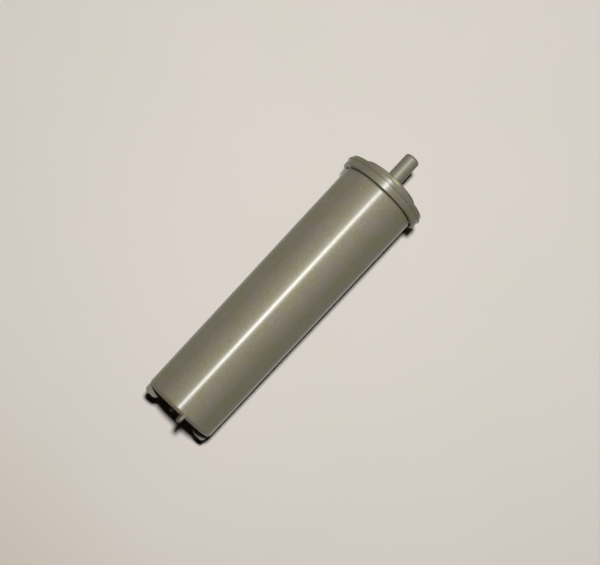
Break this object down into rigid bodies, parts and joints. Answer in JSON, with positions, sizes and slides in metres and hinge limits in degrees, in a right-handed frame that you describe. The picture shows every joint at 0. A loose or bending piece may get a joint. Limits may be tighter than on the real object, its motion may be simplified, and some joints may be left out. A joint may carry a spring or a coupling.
{
  "type": "water softener filter",
  "caption": "Sealed cylindrical softener cartridge with an end spigot, a stepped cap, a slotted inlet floor and radial feet, for an appliance's water tank.",
  "frame": {"origin": "centre of the plane that the four feet stand on, on the cartridge's axis", "axes": "+Z along the axis from the feet to the spigot; +X and +Y through the middles of two neighbouring feet"},
  "size_m": [0.0434, 0.0434, 0.1597],
  "materials": {
    "flecked_plastic": "glossy grey moulded plastic with fine metallic flecks",
    "screen_plastic": "natural white moulded plastic",
    "felt": "pressed white felt",
    "foam": "open-cell foam",
    "resin": "packed amber resin beads"
  },
  "bodies": {
    "root": {"housing": "flecked_plastic", "end_cap": "flecked_plastic", "inlet_screen": "screen_plastic", "inlet_felt": "felt", "resin_bed": "resin", "foam_pad": "foam", "outlet_screen": "screen_plastic"}
  },
  "joints": []
}
